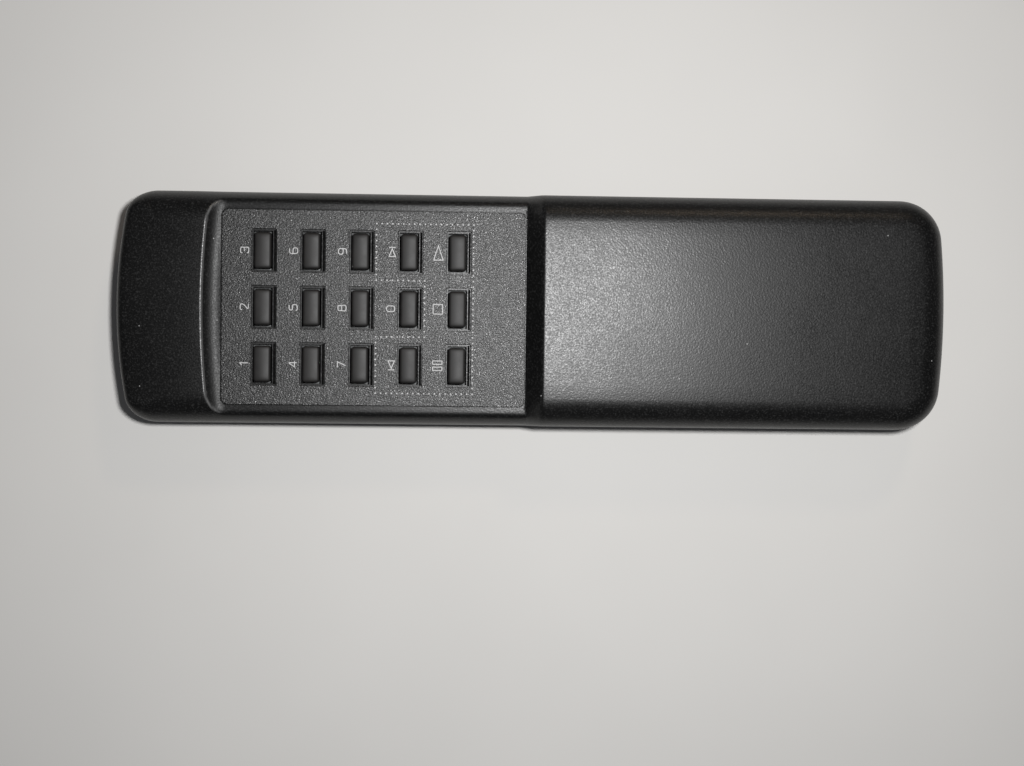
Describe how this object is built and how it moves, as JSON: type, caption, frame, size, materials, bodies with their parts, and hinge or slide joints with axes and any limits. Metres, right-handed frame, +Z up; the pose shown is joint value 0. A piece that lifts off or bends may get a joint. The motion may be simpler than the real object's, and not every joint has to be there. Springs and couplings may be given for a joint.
{
  "type": "remote control",
  "caption": "Slim black hand-held remote control with a key panel, a hooded nose, a raised battery housing and a sliding battery cover underneath.",
  "frame": {"origin": "under the middle of the case, on the surface that it lies on", "axes": "+X from the nose towards the battery end, +Y across, +Z up out of the key panel"},
  "size_m": [0.1774, 0.0496, 0.0174],
  "materials": {
    "case_black": "finely grained black ABS, satin",
    "panel_black": "grained black plate, a little rougher than the case",
    "key_rubber": "smooth matt black rubber",
    "window_red": "polished dark red infrared-clear plastic",
    "mat_rubber": "grey silicone rubber",
    "carbon": "matt conductive carbon",
    "board": "brown paper laminate with green mask",
    "chip_black": "moulded epoxy",
    "tinned": "tinned metal",
    "resonator_blue": "dipped blue coating",
    "capacitor_can": "shrink sleeve on a small can",
    "resistor_tan": "lacquered body",
    "emitter_clear": "clear moulded resin",
    "cell_steel": "nickel-plated steel",
    "cell_sleeve": "plain printed sleeve with no lettering",
    "contact_nickel": "nickel-plated spring steel",
    "screw_steel": "blackened steel"
  },
  "bodies": {
    "case": {"upper_case": "case_black", "lower_case": "case_black", "key_panel": "panel_black", "infrared_window": "window_red", "contact_mat": "mat_rubber", "carbon_pills": "carbon", "circuit_board": "board", "contact_pads": "carbon", "encoder_chip": "chip_black", "chip_legs": "tinned", "ceramic_resonator": "resonator_blue", "smoothing_capacitor": "capacitor_can", "driver_transistor": "chip_black", "resistors": "resistor_tan", "infrared_emitter": "emitter_clear", "emitter_leads": "tinned", "battery_1_can": "cell_steel", "battery_1_jacket": "cell_sleeve", "battery_2_can": "cell_steel", "battery_2_jacket": "cell_sleeve", "positive_contact": "contact_nickel", "negative_contact": "contact_nickel", "negative_spring": "contact_nickel", "bridge_plate": "contact_nickel", "bridge_spring": "contact_nickel", "case_screws": "screw_steel"},
    "battery_cover": {"battery_cover": "case_black"},
    "key_one": {"key_one": "key_rubber"},
    "key_two": {"key_two": "key_rubber"},
    "key_three": {"key_three": "key_rubber"},
    "key_four": {"key_four": "key_rubber"},
    "key_five": {"key_five": "key_rubber"},
    "key_six": {"key_six": "key_rubber"},
    "key_seven": {"key_seven": "key_rubber"},
    "key_eight": {"key_eight": "key_rubber"},
    "key_nine": {"key_nine": "key_rubber"},
    "key_previous": {"key_previous": "key_rubber"},
    "key_zero": {"key_zero": "key_rubber"},
    "key_next": {"key_next": "key_rubber"},
    "key_pause": {"key_pause": "key_rubber"},
    "key_stop": {"key_stop": "key_rubber"},
    "key_play": {"key_play": "key_rubber"}
  },
  "joints": [
    {"name": "cover_slide", "type": "slide", "parent": "case", "child": "battery_cover", "axis": [1, 0, 0], "range_m": [0, 0.0517]},
    {"name": "key_one_press", "type": "slide", "parent": "case", "child": "key_one", "axis": [0, 0, -1], "range_m": [0, 0.0009], "stiffness_N_per_m": 600, "springref_m": -0.0005, "deforming": ["contact_mat"]},
    {"name": "key_two_press", "type": "slide", "parent": "case", "child": "key_two", "axis": [0, 0, -1], "range_m": [0, 0.0009], "stiffness_N_per_m": 600, "springref_m": -0.0005, "deforming": ["contact_mat"]},
    {"name": "key_three_press", "type": "slide", "parent": "case", "child": "key_three", "axis": [0, 0, -1], "range_m": [0, 0.0009], "stiffness_N_per_m": 600, "springref_m": -0.0005, "deforming": ["contact_mat"]},
    {"name": "key_four_press", "type": "slide", "parent": "case", "child": "key_four", "axis": [0, 0, -1], "range_m": [0, 0.0009], "stiffness_N_per_m": 600, "springref_m": -0.0005, "deforming": ["contact_mat"]},
    {"name": "key_five_press", "type": "slide", "parent": "case", "child": "key_five", "axis": [0, 0, -1], "range_m": [0, 0.0009], "stiffness_N_per_m": 600, "springref_m": -0.0005, "deforming": ["contact_mat"]},
    {"name": "key_six_press", "type": "slide", "parent": "case", "child": "key_six", "axis": [0, 0, -1], "range_m": [0, 0.0009], "stiffness_N_per_m": 600, "springref_m": -0.0005, "deforming": ["contact_mat"]},
    {"name": "key_seven_press", "type": "slide", "parent": "case", "child": "key_seven", "axis": [0, 0, -1], "range_m": [0, 0.0009], "stiffness_N_per_m": 600, "springref_m": -0.0005, "deforming": ["contact_mat"]},
    {"name": "key_eight_press", "type": "slide", "parent": "case", "child": "key_eight", "axis": [0, 0, -1], "range_m": [0, 0.0009], "stiffness_N_per_m": 600, "springref_m": -0.0005, "deforming": ["contact_mat"]},
    {"name": "key_nine_press", "type": "slide", "parent": "case", "child": "key_nine", "axis": [0, 0, -1], "range_m": [0, 0.0009], "stiffness_N_per_m": 600, "springref_m": -0.0005, "deforming": ["contact_mat"]},
    {"name": "key_previous_press", "type": "slide", "parent": "case", "child": "key_previous", "axis": [0, 0, -1], "range_m": [0, 0.0009], "stiffness_N_per_m": 600, "springref_m": -0.0005, "deforming": ["contact_mat"]},
    {"name": "key_zero_press", "type": "slide", "parent": "case", "child": "key_zero", "axis": [0, 0, -1], "range_m": [0, 0.0009], "stiffness_N_per_m": 600, "springref_m": -0.0005, "deforming": ["contact_mat"]},
    {"name": "key_next_press", "type": "slide", "parent": "case", "child": "key_next", "axis": [0, 0, -1], "range_m": [0, 0.0009], "stiffness_N_per_m": 600, "springref_m": -0.0005, "deforming": ["contact_mat"]},
    {"name": "key_pause_press", "type": "slide", "parent": "case", "child": "key_pause", "axis": [0, 0, -1], "range_m": [0, 0.0009], "stiffness_N_per_m": 600, "springref_m": -0.0005, "deforming": ["contact_mat"]},
    {"name": "key_stop_press", "type": "slide", "parent": "case", "child": "key_stop", "axis": [0, 0, -1], "range_m": [0, 0.0009], "stiffness_N_per_m": 600, "springref_m": -0.0005, "deforming": ["contact_mat"]},
    {"name": "key_play_press", "type": "slide", "parent": "case", "child": "key_play", "axis": [0, 0, -1], "range_m": [0, 0.0009], "stiffness_N_per_m": 600, "springref_m": -0.0005, "deforming": ["contact_mat"]}
  ]
}
